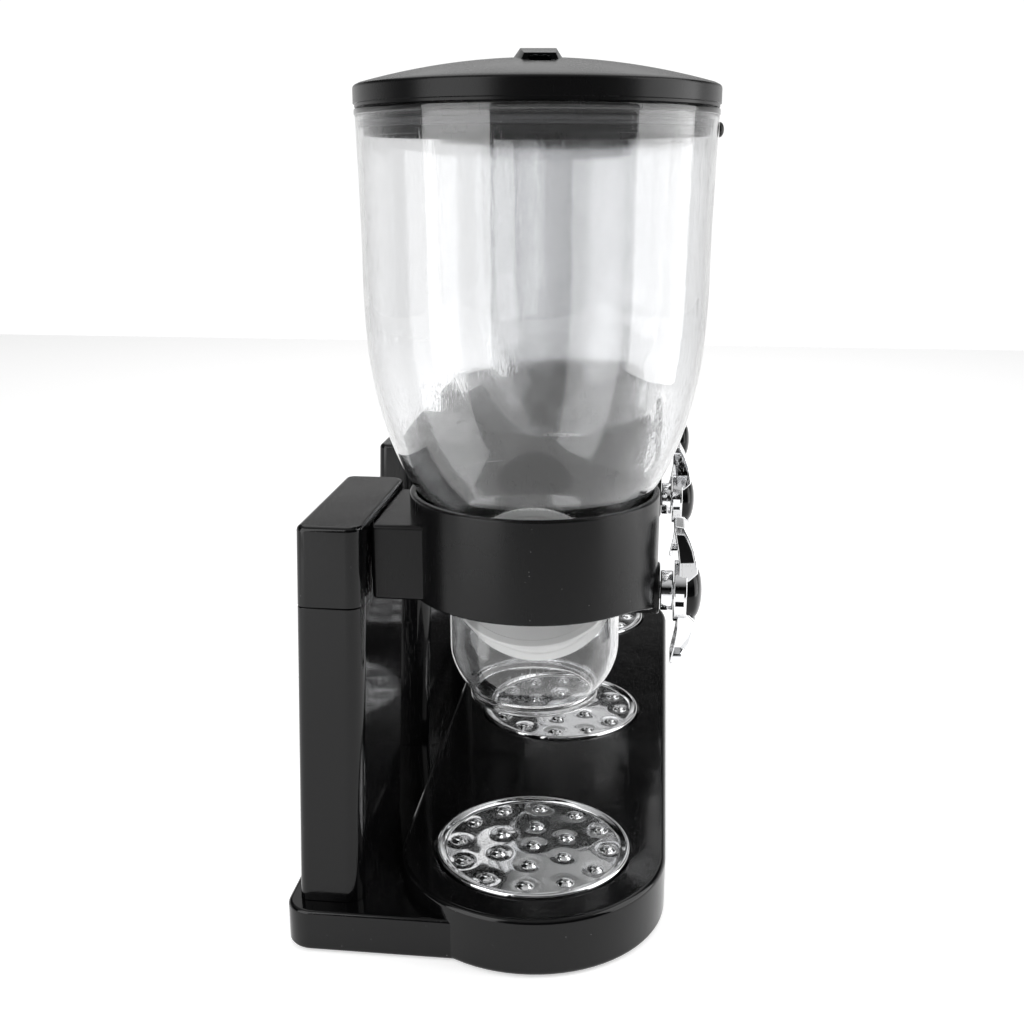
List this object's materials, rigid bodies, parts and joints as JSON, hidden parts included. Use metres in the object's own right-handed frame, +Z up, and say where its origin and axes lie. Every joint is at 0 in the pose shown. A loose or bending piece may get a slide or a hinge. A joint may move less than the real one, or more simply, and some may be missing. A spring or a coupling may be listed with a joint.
{
  "type": "cereal dispenser",
  "caption": "Countertop cereal dispenser: clear canisters in a row on black columns, each with a paddle rotor turned by a chrome knob above a round chrome plate.",
  "frame": {"origin": "centre of the bounding box at the table surface", "axes": "+Z up; the knobs face -Y; the stations stand in a row along X, number 1 at -X"},
  "size_m": [0.4676, 0.1817, 0.3838],
  "materials": {
    "black_plastic": "glossy moulded plastic",
    "black_satin": "satin moulded plastic",
    "clear_plastic": "clear polished plastic",
    "white_silicone": "soft matte silicone",
    "chrome": "mirror plating",
    "steel": "plain steel",
    "rubber": "matte rubber",
    "seal_silicone": "soft dark silicone",
    "white_plastic": "plain moulded plastic"
  },
  "bodies": {
    "frame": {"base_shell": "black_plastic", "base_cover": "black_satin", "foot_1": "rubber", "foot_2": "rubber", "foot_3": "rubber", "foot_4": "rubber", "foot_5": "rubber", "foot_6": "rubber", "column_post_1": "black_plastic", "column_cap_1": "black_plastic", "column_screw_1": "steel", "ring_bracket_1": "black_satin", "chute_1": "clear_plastic", "front_bush_1": "white_plastic", "rear_bush_1": "white_plastic", "column_post_2": "black_plastic", "column_cap_2": "black_plastic", "column_screw_2": "steel", "ring_bracket_2": "black_satin", "chute_2": "clear_plastic", "front_bush_2": "white_plastic", "rear_bush_2": "white_plastic", "column_post_3": "black_plastic", "column_cap_3": "black_plastic", "column_screw_3": "steel", "ring_bracket_3": "black_satin", "chute_3": "clear_plastic", "front_bush_3": "white_plastic", "rear_bush_3": "white_plastic"},
    "canister_1": {"hopper_1": "clear_plastic", "front_stud_1": "black_satin"},
    "cover_1": {"lid_1": "black_satin", "lid_seal_1": "seal_silicone"},
    "plate_1": {"drip_plate_1": "chrome"},
    "dial_1": {"rotor_1": "white_silicone", "rotor_shaft_1": "steel", "knob_collar_1": "chrome", "knob_1": "chrome", "knob_cap_1": "black_plastic"},
    "canister_2": {"hopper_2": "clear_plastic", "front_stud_2": "black_satin"},
    "cover_2": {"lid_2": "black_satin", "lid_seal_2": "seal_silicone"},
    "plate_2": {"drip_plate_2": "chrome"},
    "dial_2": {"rotor_2": "white_silicone", "rotor_shaft_2": "steel", "knob_collar_2": "chrome", "knob_2": "chrome", "knob_cap_2": "black_plastic"},
    "canister_3": {"hopper_3": "clear_plastic", "front_stud_3": "black_satin"},
    "cover_3": {"lid_3": "black_satin", "lid_seal_3": "seal_silicone"},
    "plate_3": {"drip_plate_3": "chrome"},
    "dial_3": {"rotor_3": "white_silicone", "rotor_shaft_3": "steel", "knob_collar_3": "chrome", "knob_3": "chrome", "knob_cap_3": "black_plastic"}
  },
  "joints": [
    {"name": "knob_turn_1", "type": "hinge", "parent": "frame", "child": "dial_1", "pos_m": [-0.16, -0.01565, 0.1585], "axis": [0, -1, 0], "continuous": true},
    {"name": "canister_lift_1", "type": "slide", "parent": "frame", "child": "canister_1", "axis": [0, 0, 1], "range_m": [0, 0.06]},
    {"name": "lid_lift_1", "type": "slide", "parent": "canister_1", "child": "cover_1", "axis": [0, 0, 1], "range_m": [0, 0.05]},
    {"name": "plate_lift_1", "type": "slide", "parent": "frame", "child": "plate_1", "axis": [0, 0, 1], "range_m": [0, 0.03]},
    {"name": "knob_turn_2", "type": "hinge", "parent": "frame", "child": "dial_2", "pos_m": [0, -0.01565, 0.1585], "axis": [0, -1, 0], "continuous": true},
    {"name": "canister_lift_2", "type": "slide", "parent": "frame", "child": "canister_2", "axis": [0, 0, 1], "range_m": [0, 0.06]},
    {"name": "lid_lift_2", "type": "slide", "parent": "canister_2", "child": "cover_2", "axis": [0, 0, 1], "range_m": [0, 0.05]},
    {"name": "plate_lift_2", "type": "slide", "parent": "frame", "child": "plate_2", "axis": [0, 0, 1], "range_m": [0, 0.03]},
    {"name": "knob_turn_3", "type": "hinge", "parent": "frame", "child": "dial_3", "pos_m": [0.16, -0.01565, 0.1585], "axis": [0, -1, 0], "continuous": true},
    {"name": "canister_lift_3", "type": "slide", "parent": "frame", "child": "canister_3", "axis": [0, 0, 1], "range_m": [0, 0.06]},
    {"name": "lid_lift_3", "type": "slide", "parent": "canister_3", "child": "cover_3", "axis": [0, 0, 1], "range_m": [0, 0.05]},
    {"name": "plate_lift_3", "type": "slide", "parent": "frame", "child": "plate_3", "axis": [0, 0, 1], "range_m": [0, 0.03]}
  ]
}
